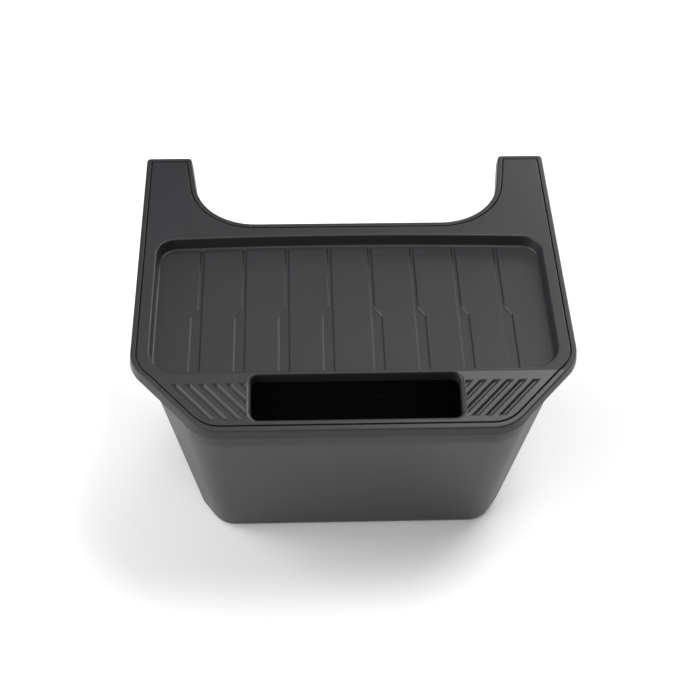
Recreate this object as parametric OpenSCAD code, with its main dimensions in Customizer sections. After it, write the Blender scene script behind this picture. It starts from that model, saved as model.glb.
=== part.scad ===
// Rear seat storage box: a drafted floor bin, a rim frame with two rear arms, and an inset cover plate.
// The front faces -Y, +X is to the right, +Z is up, and the base stands on z = 0.

/* [Overall] */
// Width across the rim frame
rim_w = 300; // [280:1:330]
// Depth from the front of the rim to the tips of the arms
rim_d = 254.5; // [245:0.5:280]
// Height of the flat top above the floor
top_h = 158; // [130:1:200]

/* [Rim outline] */
// Width of the straight front edge between the two corner chamfers
front_w = 202.4; // [190:0.2:212]
// Plan angle of the corner chamfers, from the front edge
chamfer_a = 45; // [42:1:50]
// Radius where each chamfer meets the front or the side
chamfer_r = 29; // [12:1:32]
// Depth of the rear cut-out that straddles the centre console
cutout_d = 72; // [50:1:80]
// Width of the cut-out at the tips of the arms
cutout_w = 233; // [210:1:240]
// Angle by which the arms narrow towards their tips
arm_taper = 8; // [0:1:10]
// Radius of the two inner corners of the cut-out
cutout_r = 45; // [30:1:50]
// Radius of the corners of the arm tips
tip_r = 3; // [1:0.5:5]

/* [Top surface] */
// Distance from the front of the rim to the crease where the top starts to slope down
crease_d = 40; // [38:0.5:42]
// Downward slope of the front strip
strip_a = 14; // [8:1:18]

/* [Rim frame] */
// Width of the upturned lip round the cover plate
lip_w = 3.5; // [2.5:0.1:4]
// Radius of the lip's outer edge
lip_r = 1; // [0.3:0.1:1.5]
// Height of the outer skirt
skirt_h = 7; // [6.8:0.1:10]
// Angle by which the skirt spreads outwards towards its lower edge
skirt_draft = 7; // [0:0.5:9]
// Wall of the skirt
skirt_t = 2.4; // [2:0.1:3]
// Thickness of the deck that the cover plate rests on
deck_t = 2; // [1.5:0.1:2.4]
// Distance from the rim's outside to the edge of the deck opening
ledge_in = 8.5; // [8:0.1:9]
// The same distance along the front edge
ledge_front = 5.6; // [5.4:0.1:6]

/* [Storage bin] */
// Width of the bin at the shoulder, where the upright front band ends
bin_w = 265; // [250:1:270]
// Height of the upright band along the front, from the skirt down to the shoulder
band_h = 8.5; // [4:0.5:14]
// Length over which the band bends into the front wall
band_bend = 4.6; // [1:0.2:6]
// Set-back of the band behind the lower edge of the skirt
band_in = 0.3; // [0.1:0.1:2]
// Distance from the bottom of the cut-out forward to the bin's rear wall at the shoulder
bin_rear = 13; // [11:1:30]
// Draft of the side, rear and chamfer walls
side_draft = 9.6; // [5:0.1:11]
// Draft of the front wall
front_draft = 11.5; // [5:0.1:13]
// Plan angle of the bin's own corner chamfers
bin_chamfer_a = 55; // [50:1:58]
// Half length of the straight front wall at the shoulder
bin_front_half = 103; // [96:1:104]
// Radius of the bin's upright corners
bin_r = 17; // [10:1:18]
// Radius to which the two front corners open out at the shoulder, to follow the skirt
bin_front_r = 29; // [18:1:34]
// Radius of the edge round the base
base_r = 6; // [3:0.5:8]
// Wall of the bin
wall = 2.5; // [2:0.1:3]
// Floor of the bin
floor_t = 3; // [2:0.1:5]
// Depth of the bin's hidden shelf below the flat top, beside the tray
shelf_d = 14.5; // [14:0.1:16]
// Length in front of the crease over which that shelf rises to the skirt's lower edge
shelf_lead = 10; // [4:1:20]

/* [Cover plate] */
// Gap between the lip and the cover plate
plate_gap = 1; // [0.6:0.1:1.4]
// Thickness of the cover plate
plate_t = 3; // [2.5:0.1:4]
// Wall of the tray pan and of the slot's collar
pan_t = 2; // [1.5:0.1:2.4]

/* [Tray] */
// Land between each end of the tray and the side edge of the cover plate
tray_side = 8; // [7.5:0.1:20]
// Depth of the land between the crease and the tray
tray_front = 2.8; // [2.6:0.1:12]
// Length of the tray from front to back, at its ends
tray_l = 123.7; // [100:0.1:124]
// How far the tray's back edge bows back at the middle
tray_bow = 3; // [0:0.5:3.5]
// Radius of the tray's front corners
tray_front_r = 20; // [8:1:24]
// Radius of the tray's rear corners
tray_rear_r = 14; // [8:1:20]
// Depth of the tray
tray_h = 9; // [6:0.5:9.5]
// Run of the tray's sloped wall
tray_run = 1.2; // [0.6:0.1:4]
// Radius of the fillet at the foot of the tray's wall
tray_fillet = 1.5; // [1:0.1:4]
// Rounding of the tray's top edge
tray_edge = 1.2; // [0.4:0.1:1.3]

/* [Tray channels] */
// Number of shallow channels on each half of the tray's floor
channel_n = 4; // [2:1:4]
// Distance from the middle to the inner edge of the first channel
channel_first = 13; // [8:0.5:16]
// Spacing of the channels
channel_pitch = 30.3; // [22:0.1:31]
// Width of the narrow rear part of a channel
channel_narrow = 3.3; // [2:0.1:5]
// Width of the wide front part of a channel
channel_wide = 8; // [6:0.1:10]
// Depth of a channel
channel_h = 1; // [0.5:0.1:1.2]
// Run of a channel's sloped side
channel_side = 0.8; // [0.3:0.1:0.9]
// Distance from the tray's front edge to the front of the step in each channel
channel_step = 56.7; // [40:0.1:60]
// Length of the step
channel_step_l = 8; // [4:0.5:12]

/* [Slot] */
// Width of the slot
slot_w = 138.6; // [120:0.2:144]
// Distance from the crease to the slot's rear edge
slot_rear = 0.6; // [0.6:0.1:3]
// Distance from the plate's front edge to the slot
slot_front = 4; // [4:0.1:8]
// Corner radius of the slot
slot_r = 5; // [3:0.5:8]
// Rounding of the slot's top edge, at its ends and in front
slot_edge = 2.6; // [0.5:0.1:2.8]
// Rounding of the slot's rear top edge
slot_rear_edge = 0.5; // [0.2:0.1:0.5]
// Height of the collar turned down round the slot
collar_h = 8; // [5:0.5:9]

/* [Corner grooves] */
// Number of diagonal grooves in each corner
groove_n = 6; // [3:1:6]
// Spacing of the grooves along the front edge
groove_pitch = 8.9; // [8:0.1:12]
// Width of a groove along the front edge
groove_w = 5.3; // [3.5:0.1:6]
// Depth of a groove
groove_h = 1.2; // [0.6:0.1:1.6]
// Run of a groove's sloped wall
groove_run = 1.3; // [0.6:0.1:1.4]
// Distance from the crease to the rear ends of the grooves
groove_rear = 6.1; // [5:0.1:10]
// Land between the slot and the grooves
groove_land = 3.2; // [3:0.1:6]
// Land between the outermost groove and the plate's chamfered edge, along the front edge
groove_edge = 5.8; // [4:0.1:9]

/* [Hidden] */

plastic = [0.23, 0.23, 0.24];
front_y = -rim_d / 2;
rear_y = front_y + rim_d;
crease_y = front_y + crease_d;
cutout_y = rear_y - cutout_d;
slope = tan(strip_a);
sharp_r = 0.4;
over = 1;
arc_n = 8;
big_arc_n = 16;
seat_gap = 0.1;
skirt_gap = 0.3;

// Height of the top surface above the floor at any y
function surface_z(y) = top_h - max(0, crease_y - y) * slope;

// Plan outlines: corner points run counter-clockwise, and a positive inset moves them inwards
function unit(v) = v / norm(v);
function left_normal(v) = [-v[1], v[0]];
function heading(P, i) = unit(P[(i + 1) % len(P)] - P[i]);
function before(P, i) = (i + len(P) - 1) % len(P);
function turn(P, i) = let(u = heading(P, before(P, i)), v = heading(P, i)) atan2(cross(u, v), u * v);
function inset_point(P, i, d) =
    let(a = left_normal(heading(P, before(P, i))), b = left_normal(heading(P, i)))
    P[i] + (a + b) * d / (1 + a * b);
function inset(P, d) = [for (i = [0 : len(P) - 1]) inset_point(P, i, d)];
function inset_radii(P, R, d) =
    [for (i = [0 : len(P) - 1]) turn(P, i) > 0 ? max(R[i] - d, sharp_r) : R[i] + d];

// One rounded corner as count + 1 points, or the bare corner where count is 0
function corner(P, i, r, count) =
    count == 0 ? [P[i]] :
    let(
        a = turn(P, i),
        u = heading(P, before(P, i)),
        side = sign(a),
        start = P[i] - u * r * tan(abs(a) / 2),
        centre = start + left_normal(u) * r * side,
        arm = start - centre
    )
    [for (k = [0 : count])
        let(t = a * k / count)
        centre + [arm[0] * cos(t) - arm[1] * sin(t), arm[0] * sin(t) + arm[1] * cos(t)]];
function rounded(P, R, N) = [for (i = [0 : len(P) - 1]) each corner(P, i, R[i], N[i])];

// A solid through a chain of rings with equal numbers of points, closed by a cap at each end. Both
// caps fan out from the first point of their ring.
module loft(rings) {
    n = len(rings[0]);
    last = (len(rings) - 1) * n;
    polyhedron(
        points = [for (ring = rings) each ring],
        faces = concat(
            [[for (i = [0 : n - 1]) i]],
            [for (j = [0 : len(rings) - 2], i = [0 : n - 1])
                let(a = j * n + i, b = j * n + (i + 1) % n) each [[a, a + n, b + n], [a, b + n, b]]],
            [concat([last], [for (i = [n - 1 : -1 : 1]) last + i])]
        ),
        convexity = 10
    );
}

// The same without caps: the last ring joins the first again
module hoop(rings) {
    n = len(rings[0]);
    m = len(rings);
    polyhedron(
        points = [for (ring = rings) each ring],
        faces = [for (j = [0 : m - 1], i = [0 : n - 1])
            let(a = j * n, b = ((j + 1) % m) * n, k = (i + 1) % n)
            each [[a + i, b + i, b + k], [a + i, b + k, a + k]]],
        convexity = 10
    );
}

// Outline of the rim frame
side_x = rim_w / 2;
tip_x = cutout_w / 2;
chamfer_y = front_y + (side_x - front_w / 2) * tan(chamfer_a);
inner_x = tip_x - cutout_d * tan(arm_taper);
rim_half = [[front_w / 2, front_y], [side_x, chamfer_y], [side_x, rear_y], [tip_x, rear_y], [inner_x, cutout_y]];
RIM = concat(rim_half, [for (i = [4 : -1 : 0]) [-rim_half[i][0], rim_half[i][1]]]);
rim_half_r = [chamfer_r, chamfer_r, tip_r, tip_r, cutout_r];
RIM_R = concat(rim_half_r, [for (i = [4 : -1 : 0]) rim_half_r[i]]);
rim_half_n = [arc_n, arc_n, 4, 4, big_arc_n];
RIM_N = concat(rim_half_n, [for (i = [4 : -1 : 0]) rim_half_n[i]]);
function rim_outline(d) = rounded(inset(RIM, d), inset_radii(RIM, RIM_R, d), RIM_N);

// The part between two depths below the top surface, which bends down at the crease
module bent_layer(upper, lower) {
    y0 = front_y - 5 * over;
    y1 = rear_y + 5 * over;
    profile = [
        [y0, surface_z(y0) - upper], [y0, surface_z(y0) - lower], [crease_y, top_h - lower],
        [y1, top_h - lower], [y1, top_h - upper], [crease_y, top_h - upper]
    ];
    rotate([90, 0, 90]) linear_extrude(height = rim_w + 10 * over, center = true) polygon(profile);
}

// A plate of the given plan outline between two depths below the top surface
module slab(outline, upper, lower) {
    intersection() {
        linear_extrude(height = top_h + 4 * over) polygon(outline);
        bent_layer(upper, lower);
    }
}

// Plan of a six-sided loop: front wall, two chamfers, two sides and a rear wall
function loop_corners(half_front, y_front, half_side, angle, y_rear) =
    let(y_side = y_front + (half_side - half_front) * tan(angle))
    [
        [half_front, y_front], [half_side, y_side], [half_side, y_rear],
        [-half_side, y_rear], [-half_side, y_side], [-half_front, y_front]
    ];
LOOP_N = [arc_n, arc_n, arc_n, arc_n, arc_n, arc_n];

// Opening in the deck, which follows the rim along the front, chamfers and sides
DECK = loop_corners(
    front_w / 2 - ledge_in * tan(chamfer_a / 2) - (ledge_in - ledge_front) / tan(chamfer_a),
    front_y + ledge_front, side_x - ledge_in, chamfer_a, cutout_y - ledge_in
);
DECK_R = [chamfer_r - ledge_front, chamfer_r - ledge_in, 8, 8, chamfer_r - ledge_in, chamfer_r - ledge_front];

// An outline with a point added wherever it crosses the crease
function creased(P) =
    [for (i = [0 : len(P) - 1])
        let(p = P[i], q = P[(i + 1) % len(P)], a = p[1] - crease_y, b = q[1] - crease_y)
        each (a * b < 0 ? [p, p + (q - p) * a / (a - b)] : [p])];
function rim_ring(d, depth) =
    [for (p = creased(rim_outline(d))) [p[0], p[1], surface_z(p[1]) - depth]];

// Section of a cutter that rounds a top edge, as distances from the edge and depths; it enters the
// top surface at a shallow angle
function round_over(r) =
    concat([[r + 0.2, -0.03]], [for (t = [22.5 : 22.5 : 90]) [r * (1 - sin(t)), r * (1 - cos(t))]]);

// What is cut away round the frame to give it a rounded lip and a skirt that spreads
function spread(depth) = (depth - lip_r) * tan(skirt_draft);
skirt_out = spread(skirt_h);
blank_out = spread(skirt_h + over) + over;
module skirt_shaper() {
    below = skirt_h + over;
    profile = concat(
        [[-blank_out - over, -over], [lip_r + 0.2, -over]],
        round_over(lip_r),
        [[-spread(below), below], [-blank_out - over, below]]
    );
    hoop([for (a = profile) rim_ring(a[0], a[1])]);
}

module rim_frame() {
    color(plastic) difference() {
        slab(rim_outline(-blank_out), 0, skirt_h);
        skirt_shaper();
        slab(rim_outline(lip_w), -over, plate_t);
        slab(rim_outline(skirt_t - skirt_out), plate_t + deck_t, skirt_h + over);
        linear_extrude(height = top_h + over) polygon(rounded(DECK, DECK_R, LOOP_N));
    }
}

// A loop whose edges are each moved inwards by their own distance
function inset_each_point(P, i, D) =
    let(
        a = left_normal(heading(P, before(P, i))),
        b = left_normal(heading(P, i)),
        da = D[before(P, i)],
        db = D[i],
        c = a * b
    )
    P[i] + (a * (da - db * c) + b * (db - da * c)) / (1 - c * c);
function inset_each(P, D) = [for (i = [0 : len(P) - 1]) inset_each_point(P, i, D)];
function edges(other, front) = [other, other, other, other, other, front];

// The bin's outline at the shoulder, and at any drop below it with the drafts of its walls
BIN = loop_corners(
    bin_front_half, front_y - skirt_out + band_in, bin_w / 2, bin_chamfer_a, cutout_y - bin_rear
);
bend = band_bend / 2;
function eased(drop) = drop < -bend ? 0 : drop > bend ? drop : pow(drop + bend, 2) / (4 * bend);
function bin_loop(drop, extra) =
    inset_each(BIN, edges(drop * tan(side_draft) + extra, eased(drop) * tan(front_draft) + extra));
function bin_radii(z, extra) =
    let(r = bin_r - extra, front_r = r + (bin_front_r - bin_r) * min(1, z / shoulder_z))
    [front_r, r, r, r, r, front_r];
function bin_ring(drop, extra, thinner) =
    let(z = shoulder_z - drop)
    [for (p = rounded(bin_loop(drop, extra), bin_radii(z, thinner), LOOP_N)) [p[0], p[1], z]];

// Height of the shelf: d_side below the flat top beside the tray, and d_front below the strip in front
front_shelf_d = skirt_h + skirt_gap;
function share(y) = min(1, max(0, crease_y - y) / shelf_lead);
function shelf_z(y, d_side, d_front) = surface_z(y) - d_side - share(y) * (d_front - d_side);
function sloped(P, R, d_side, d_front) =
    [for (p = rounded(P, R, LOOP_N)) [p[0], p[1], shelf_z(p[1], d_side, d_front)]];
function seated(P, R) =
    [for (p = rounded(P, R, LOOP_N)) [p[0], p[1], surface_z(p[1]) - plate_t - deck_t - seat_gap]];

// The top of the bin's wall: each point lies between the shoulder and the shelf as its height asks
shoulder_d = crease_d * slope + front_shelf_d + band_h;
shoulder_z = top_h - shoulder_d;
rise = shoulder_d - shelf_d;
function wall_top(extra, d_side, d_front) =
    let(
        R = bin_radii(shoulder_z, extra),
        low = rounded(bin_loop(0, extra), R, LOOP_N),
        high = rounded(bin_loop(-rise, extra), R, LOOP_N)
    )
    [for (i = [0 : len(low) - 1])
        let(z = shelf_z(high[i][1], d_side, d_front), p = low[i] + (high[i] - low[i]) * (z - shoulder_z) / rise)
        [p[0], p[1], z]];
RIM_OUT = inset_each(DECK, edges(-wall, -wall));
RIM_OUT_R = [for (r = DECK_R) r + wall];

module storage_bin() {
    base_arc = [for (t = [90 : -30 : 0]) [base_r * (1 - cos(t)), base_r * (1 - sin(t))]];
    bends = [for (k = [3 : -2 : -3]) bend * k / 3];
    color(plastic) loft(concat(
        [for (a = base_arc) bin_ring(shoulder_z - a[1], a[0], 0)],
        [for (drop = bends) bin_ring(drop, 0, 0)],
        [
            wall_top(0, shelf_d, front_shelf_d),
            sloped(RIM_OUT, RIM_OUT_R, shelf_d, front_shelf_d),
            seated(RIM_OUT, RIM_OUT_R),
            seated(DECK, DECK_R),
            sloped(DECK, DECK_R, shelf_d - wall, front_shelf_d + wall),
            wall_top(wall, shelf_d - wall, front_shelf_d + wall),
            bin_ring(0, wall, wall),
            bin_ring(shoulder_z - floor_t, wall, wall)
        ]
    ));
}

// Cover plate
plate_in = lip_w + plate_gap;
plate_front_y = front_y + plate_in;
slot_y0 = plate_front_y + slot_front;
slot_y1 = crease_y - slot_rear;
SLOT = [[-slot_w / 2, slot_y0], [slot_w / 2, slot_y0], [slot_w / 2, slot_y1], [-slot_w / 2, slot_y1]];
function slot_outline(d, d_rear) =
    let(n = [for (i = [0 : 3]) arc_n])
    rounded(inset_each(SLOT, [-d, -d, -d_rear, -d]), [for (i = [0 : 3]) slot_r + d], n);
function slot_ring(d, depth) =
    [for (p = slot_outline(d, d * slot_rear_edge / slot_edge)) [p[0], p[1], surface_z(p[1]) - depth]];

module slot_hollow() {
    profile = concat([[slot_edge + 0.2, -over]], round_over(slot_edge), [[0, collar_h + over]]);
    loft([for (i = [len(profile) - 1 : -1 : 0]) slot_ring(profile[i][0], profile[i][1])]);
}

// Tray outline, with a rear edge that bows back
bow_n = 12;
tray_w = rim_w - 2 * (plate_in + tray_side);
tray_y0 = crease_y + tray_front;
tray_y1 = tray_y0 + tray_l;
function tray_rear(x) = tray_y1 + tray_bow * (1 - pow(2 * x / tray_w, 2));
TRAY = concat(
    [[-tray_w / 2, tray_y0], [tray_w / 2, tray_y0], [tray_w / 2, tray_y1]],
    [for (k = [1 : bow_n - 1]) let(x = tray_w * (0.5 - k / bow_n)) [x, tray_rear(x)]],
    [[-tray_w / 2, tray_y1]]
);
TRAY_R = [for (i = [0 : len(TRAY) - 1]) i < 2 ? tray_front_r : tray_rear_r];
TRAY_N = [for (i = [0 : len(TRAY) - 1]) i < 3 || i == len(TRAY) - 1 ? arc_n : 0];
function tray_ring(d, inward) =
    [for (p = rounded(inset(TRAY, inward), inset_radii(TRAY, TRAY_R, inward), TRAY_N)) [p[0], p[1], top_h - d]];
function foot_arc(r) =
    [for (t = [0 : 22.5 : 90])
        [tray_h - tray_fillet + r * sin(t), tray_run + tray_fillet - r * cos(t)]];

module tray_hollow() {
    edge = [for (t = [0 : 30 : 90]) [tray_edge * (1 - cos(t)), -tray_edge * (1 - sin(t))]];
    profile = concat([[-over, -tray_edge]], edge, foot_arc(tray_fillet));
    loft([for (i = [len(profile) - 1 : -1 : 0]) tray_ring(profile[i][0], profile[i][1])]);
}

module tray_pan() {
    profile = concat([[plate_t / 2, -pan_t]], foot_arc(tray_fillet + pan_t));
    loft([for (i = [len(profile) - 1 : -1 : 0]) tray_ring(profile[i][0], profile[i][1])]);
}

// A shallow channel with a wide front part, a step and a narrow rear part
module channel(x) {
    ends = tray_run + tray_fillet;
    lift = 0.4;
    y0 = tray_y0 + ends;
    y1 = tray_rear(x) - ends;
    step_y = tray_y0 + channel_step;
    plan = [
        [x, y0], [x + channel_wide, y0], [x + channel_wide, step_y],
        [x + channel_narrow, step_y + channel_step_l], [x + channel_narrow, y1], [x, y1]
    ];
    floor_z = top_h - tray_h;
    mouth = inset(plan, -lift * channel_side / channel_h);
    bed = inset(plan, channel_side);
    loft([
        [for (p = bed) [p[0], p[1], floor_z - channel_h]],
        [for (p = mouth) [p[0], p[1], floor_z + lift]]
    ]);
}

module channels() {
    for (k = [0 : channel_n - 1]) {
        channel(channel_first + k * channel_pitch);
        mirror([1, 0, 0]) channel(channel_first + k * channel_pitch);
    }
}

// Diagonal grooves, parallel to the plate's chamfered edge and ending beside the slot
groove_y1 = crease_y - groove_rear;
lean = 1 / tan(chamfer_a);
plate_front_half = front_w / 2 - plate_in * tan(chamfer_a / 2);
groove_x1 = plate_front_half + (groove_y1 - plate_front_y) * lean - groove_edge - groove_w;

module groove(x) {
    shift = (groove_y1 - slot_y0) * lean;
    plan = [
        [x - shift, slot_y0], [x + groove_w - shift, slot_y0], [x + groove_w, groove_y1], [x, groove_y1]
    ];
    lift = 0.4;
    mouth = inset(plan, -lift * groove_run / groove_h);
    bed = inset(plan, groove_run);
    loft([
        [for (p = bed) [p[0], p[1], surface_z(p[1]) - groove_h]],
        [for (p = mouth) [p[0], p[1], surface_z(p[1]) + lift]]
    ]);
}

module corner_grooves() {
    field_x = slot_w / 2 + groove_land;
    intersection() {
        for (k = [0 : groove_n - 1]) groove(groove_x1 - k * groove_pitch);
        translate([field_x, front_y, 0]) cube([side_x - field_x, crease_d, top_h + over]);
    }
}

module cover_plate() {
    color(plastic)
        difference() {
            union() {
                slab(rim_outline(plate_in), 0, plate_t);
                slab(slot_outline(pan_t, pan_t), plate_t / 2, collar_h);
                tray_pan();
            }
            tray_hollow();
            slot_hollow();
            corner_grooves();
            mirror([1, 0, 0]) corner_grooves();
            channels();
        }
}

storage_bin();
rim_frame();
cover_plate();
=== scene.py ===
# %% [markdown]
# # A storage box for the rear of a car's centre console
#
# The real object is modelled as three mouldings in dark grey plastic with a fine sparked grain: a
# bin, a frame that caps its rim and reaches back in two arms, and a cover plate that lies in the
# frame. All three are solid parts with exact shapes, so they come from the construction model as it
# stands, and this lesson is about dressing them: grain, soft edges, colour that drifts a little
# over each piece, a studio that shows the form, and a camera.

import math

import bpy
import numpy as np
from mathutils import Matrix, Vector

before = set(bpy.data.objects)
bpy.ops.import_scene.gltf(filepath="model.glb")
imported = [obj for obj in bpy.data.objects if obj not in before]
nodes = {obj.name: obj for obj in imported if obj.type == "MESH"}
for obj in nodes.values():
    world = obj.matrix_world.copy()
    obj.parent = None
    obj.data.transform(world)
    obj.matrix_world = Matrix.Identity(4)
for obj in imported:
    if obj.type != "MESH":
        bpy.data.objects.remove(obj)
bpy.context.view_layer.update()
print("nodes:", ", ".join(sorted(nodes)))

# %% [markdown]
# ## Shader maths as plain expressions
#
# A pattern such as grain is arithmetic on coordinates. Wiring Math nodes by hand hides that
# arithmetic, so one small class wraps a socket and lets Python's own operators add the nodes.
# Everything that isn't arithmetic comes from a single method that takes the node's type, its
# settings and what goes into its sockets.


# %% A socket that can be added, multiplied and compared
class Flow:
    """One output socket of a material's nodes. Operators on it add Math nodes."""

    def __init__(self, finish, socket):
        self.finish = finish
        self.socket = socket

    def math(self, operation, *values, clamp=False):
        settings = {"operation": operation, "use_clamp": clamp}
        return self.finish.node("ShaderNodeMath", settings, dict(enumerate(values)))

    def __add__(self, other):
        return self.math("ADD", self, other)

    def __sub__(self, other):
        return self.math("SUBTRACT", self, other)

    def __rsub__(self, other):
        return self.math("SUBTRACT", other, self)

    def __mul__(self, other):
        return self.math("MULTIPLY", self, other)

    __radd__, __rmul__ = __add__, __mul__

    def clamped(self):
        return self.math("ADD", self, 0.0, clamp=True)


# %% A material under construction
class Finish:
    """A material whose nodes are added one call at a time."""

    def __init__(self, name):
        self.material = bpy.data.materials.new(name)
        self.material.use_nodes = True
        self.tree = self.material.node_tree
        self.tree.nodes.clear()

    def node(self, kind, settings=None, sockets=None, out=0):
        """Adds a node: its settings first, then its sockets, each a number, a colour or a Flow."""
        made = self.tree.nodes.new(kind)
        for key, value in (settings or {}).items():
            setattr(made, key, value)
        for key, value in (sockets or {}).items():
            if isinstance(value, Flow):
                self.tree.links.new(value.socket, made.inputs[key])
            else:
                made.inputs[key].default_value = value
        return Flow(self, made.outputs[out]) if made.outputs else None


# %% [markdown]
# ## Moulded plastic
#
# The surface of such a moulding is the negative of a spark-eroded steel tool: small shallow pits
# with no direction, about half a millimetre across, that scatter light and make dark plastic look
# soft. Over that lie slow changes, because the plastic cooled faster in some places than in others.
# The grain is a bump made of two noises. The slow changes go into roughness and, much weaker, into
# the colour. A Bevel node rounds the normals near each edge, as a tool's edges are never sharp, and
# its difference from the flat normal also marks the edges, which are made a little smoother and
# carry a painted highlight: their colour is lighter.

# %% Sizes of the grain and of the slow changes, in metres
GRAIN_SIZE = 0.0007
FINER_GRAIN_SIZE = 0.45 * GRAIN_SIZE
GRAIN_DEPTH = 0.00003
FLOW_SIZE = 0.045
EDGE_RADIUS = 0.0006
print(f"grain {1000 * GRAIN_SIZE:g} mm, edges {1000 * EDGE_RADIUS:g} mm")

# %% How strongly each pattern shows
FINE_SHARE, FINER_SHARE = 0.65, 0.35
EDGE_GAIN = 4.0
# The edge share of the tint is a painted highlight: it lightens the colour along every edge.
TINT_BASE, TINT_SLOW, TINT_FINE, EDGE_HIGHLIGHT_TINT = 0.94, 0.12, 0.05, 0.15
GLOSS_SLOW, GLOSS_FINE, GLOSS_EDGE = 0.08, 0.06, 0.05
NOISE_MIDDLE = 0.5
PLASTIC_IOR = 1.42
RGB_A, RGB_B, RGB_OUT = 6, 7, 2
print("tint from", TINT_BASE, "to", round(TINT_BASE + TINT_SLOW + EDGE_HIGHLIGHT_TINT, 2))


# %% The finish of the plastic
def moulded_plastic(name, colour, roughness, grain=1.0):
    """Height of the grain: a share of a fine noise plus a smaller share of a finer one."""
    finish = Finish(name)
    place = finish.node("ShaderNodeTexCoord", out="Object")

    def noise(size, detail):
        return finish.node(
            "ShaderNodeTexNoise", None, {"Vector": place, "Scale": 1 / size, "Detail": detail}
        )

    slow = noise(FLOW_SIZE, 2.0)
    fine = noise(GRAIN_SIZE, 1.0)
    finer = noise(FINER_GRAIN_SIZE, 1.0)
    height = (FINE_SHARE * fine + FINER_SHARE * finer) * grain

    soft = finish.node("ShaderNodeBevel", {"samples": 6}, {"Radius": EDGE_RADIUS})
    flat = finish.node("ShaderNodeNewGeometry", out="Normal")
    turned = finish.node(
        "ShaderNodeVectorMath", {"operation": "DOT_PRODUCT"}, {0: soft, 1: flat}, out="Value"
    )
    edge = ((1 - turned) * EDGE_GAIN).clamped()

    speck = fine - NOISE_MIDDLE
    # The last term lightens the colour along every edge as a painted highlight.
    tint = TINT_BASE + TINT_SLOW * slow + TINT_FINE * speck + EDGE_HIGHLIGHT_TINT * edge
    shade = finish.node(
        "ShaderNodeMix",
        {"data_type": "RGBA", "blend_type": "MULTIPLY"},
        {0: 1.0, RGB_A: (*colour, 1.0), RGB_B: tint},
        out=RGB_OUT,
    )
    drift = GLOSS_SLOW * (slow - NOISE_MIDDLE) + GLOSS_FINE * speck
    gloss = roughness + drift - GLOSS_EDGE * edge
    bump = finish.node(
        "ShaderNodeBump", None, {"Distance": GRAIN_DEPTH, "Height": height, "Normal": soft}
    )
    plastic = finish.node(
        "ShaderNodeBsdfPrincipled",
        None,
        {"Base Color": shade, "Roughness": gloss, "Normal": bump, "IOR": PLASTIC_IOR},
    )
    finish.node("ShaderNodeOutputMaterial", None, {"Surface": plastic})
    print(f"{name}: {len(finish.tree.nodes)} nodes")
    return finish.material


# %% [markdown]
# ## Dressing the three mouldings
#
# Each moulding came from its own tool and its own batch of plastic. The bin is a shade lighter and
# the roughest of the three, with the deepest grain. The frame and the cover share a colour, and the
# cover is a hair smoother, because hands and phones rub it.

# %% A finish for each moulding
PLASTICS = {
    "storage_bin": moulded_plastic("bin_plastic", (0.026, 0.0265, 0.028), 0.43, 1.2),
    "rim_frame": moulded_plastic("frame_plastic", (0.017, 0.0175, 0.019), 0.41),
    "cover_plate": moulded_plastic("cover_plastic", (0.017, 0.0175, 0.019), 0.40),
}
for node_name, plastic in PLASTICS.items():
    mesh = nodes[node_name].data
    mesh.materials.clear()
    mesh.materials.append(plastic)
    print(node_name, "wears", plastic.name, "on", len(mesh.polygons), "triangles")

# %% [markdown]
# ## Studio
#
# Dark plastic shows its form by what it mirrors, so the studio is a pale floor that fills the
# picture and eight soft panels round the object. The strongest is a small one high on the right: it
# brightens every slope that faces right, so the left edges of the tray and of its channels come out
# light and the right edges dark. Two low panels on the right and behind give the right chamfer its
# pale stripe, and three on the left whiten the floor that the left chamfer mirrors. One in front
# lights the lip and the band. The room itself is nearly black, so the slot's inside stays dark.

# %% A pale floor
FLOOR_HALF, FLOOR_STEPS = 6.0, 3
PAPER_WHITE = (0.86, 0.86, 0.86, 1.0)


def floor_sheet(half, steps):
    """A flat square grid: x and y run from -half to half, and z is 0."""
    line = np.linspace(-half, half, steps)
    x, y = np.meshgrid(line, line)
    points = np.stack([x, y, np.zeros_like(x)], -1).reshape(-1, 3)
    corner = (np.arange(steps - 1)[:, None] * steps + np.arange(steps - 1)).ravel()
    quads = np.stack([corner, corner + 1, corner + steps + 1, corner + steps], -1)
    mesh = bpy.data.meshes.new("floor")
    mesh.from_pydata(points.tolist(), [], quads.tolist())
    return bpy.data.objects.new("floor", mesh)


floor = floor_sheet(FLOOR_HALF, FLOOR_STEPS)
paper = Finish("paper")
paper_shade = paper.node("ShaderNodeBsdfDiffuse", None, {"Color": PAPER_WHITE})
paper.node("ShaderNodeOutputMaterial", None, {"Surface": paper_shade})
floor.data.materials.append(paper.material)
bpy.context.scene.collection.objects.link(floor)
print("floor:", len(floor.data.polygons), "faces")

# %% Soft panels
TARGET = Vector((0.0, -0.02, 0.10))
PANEL_DISTANCE = 1.7
BROAD, SMALL = (0.9, 0.7), (0.6, 0.6)


def panel(name, azimuth, elevation, size, watts):
    """Azimuth 0 is in front of the object and 90 on its right; the panel faces the object."""
    turn, rise = math.radians(azimuth), math.radians(elevation)
    away = Vector(
        (math.sin(turn) * math.cos(rise), -math.cos(turn) * math.cos(rise), math.sin(rise))
    )
    light = bpy.data.lights.new(name, "AREA")
    light.shape = "RECTANGLE"
    light.size, light.size_y = size
    light.energy = watts
    lamp = bpy.data.objects.new(name, light)
    lamp.location = TARGET + away * PANEL_DISTANCE
    lamp.rotation_mode = "QUATERNION"
    lamp.rotation_quaternion = away.to_track_quat("Z", "Y")
    bpy.context.scene.collection.objects.link(lamp)
    print(f"{name}: {watts} W")


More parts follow.
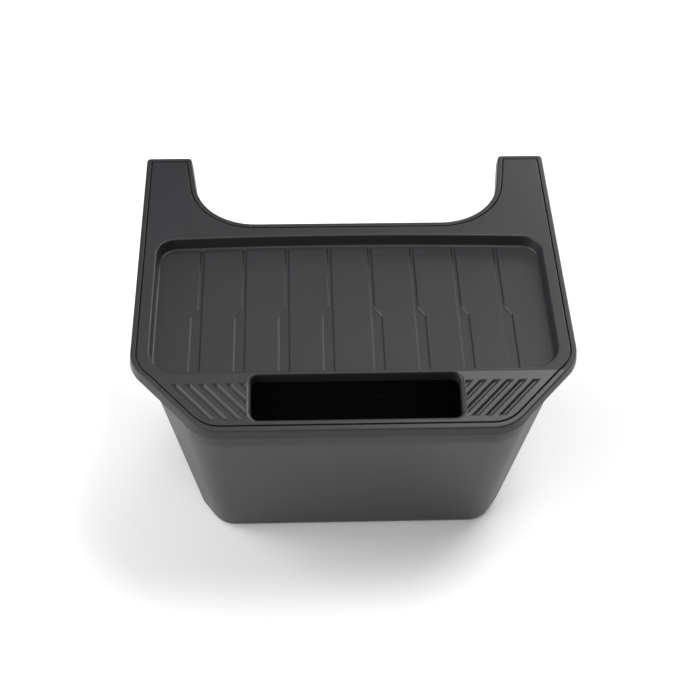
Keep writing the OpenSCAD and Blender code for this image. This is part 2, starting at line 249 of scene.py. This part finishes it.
panel("high_right", 120, 68, SMALL, 17)
panel("low_right", 120, 12, BROAD, 12)
panel("back_right", 150, 20, BROAD, 12)
panel("back", -165, 60, BROAD, 3)
panel("low_left", -90, 12, BROAD, 14)
panel("high_left", -90, 55, SMALL, 9)
panel("front_left", -60, 20, BROAD, 12)
panel("front", 0, 55, BROAD, 7)

# %% The dark room around it
ROOM_LIGHT = 0.1
world = bpy.data.worlds.new("room")
world.use_nodes = True
room = world.node_tree.nodes["Background"]
room.inputs["Color"].default_value = (1.0, 1.0, 1.0, 1.0)
room.inputs["Strength"].default_value = ROOM_LIGHT
bpy.context.scene.world = world
bpy.context.scene.view_settings.view_transform = "Standard"
print("room light:", ROOM_LIGHT)

# %% [markdown]
# ## Camera
#
# The photograph was taken from above the front edge, a few centimetres left of the middle, with a
# long lens. Yaw, pitch and roll are applied in that order to a camera that looks along +Y.

# %% The camera at the photograph's angle
EYE = Vector((-0.0374, -0.6914, 0.8770))
YAW, PITCH, ROLL = (math.radians(a) for a in (-3.15, 49.0, 1.6))
LENS_MM, SENSOR_MM = 73.05, 36.0
CLIP_NEAR, CLIP_FAR = 0.05, 50.0

right = np.array([math.cos(YAW), math.sin(YAW), 0.0])
ahead = np.array([-math.sin(YAW), math.cos(YAW), 0.0])
zenith = np.array([0.0, 0.0, 1.0])
gaze = math.cos(PITCH) * ahead - math.sin(PITCH) * zenith
up = math.sin(PITCH) * ahead + math.cos(PITCH) * zenith
across = math.cos(ROLL) * right + math.sin(ROLL) * up
upright = math.cos(ROLL) * up - math.sin(ROLL) * right

lens = bpy.data.cameras.new("camera")
lens.lens, lens.sensor_width = LENS_MM, SENSOR_MM
lens.clip_start, lens.clip_end = CLIP_NEAR, CLIP_FAR
camera = bpy.data.objects.new("camera", lens)
camera.matrix_world = Matrix.Translation(EYE) @ Matrix(
    np.stack([across, upright, -gaze], -1).tolist()
).to_4x4()
bpy.context.scene.collection.objects.link(camera)
bpy.context.scene.camera = camera
print("camera at", [round(v, 4) for v in EYE])

# %% [markdown]
# ## End

# %% Finish
print("finished")
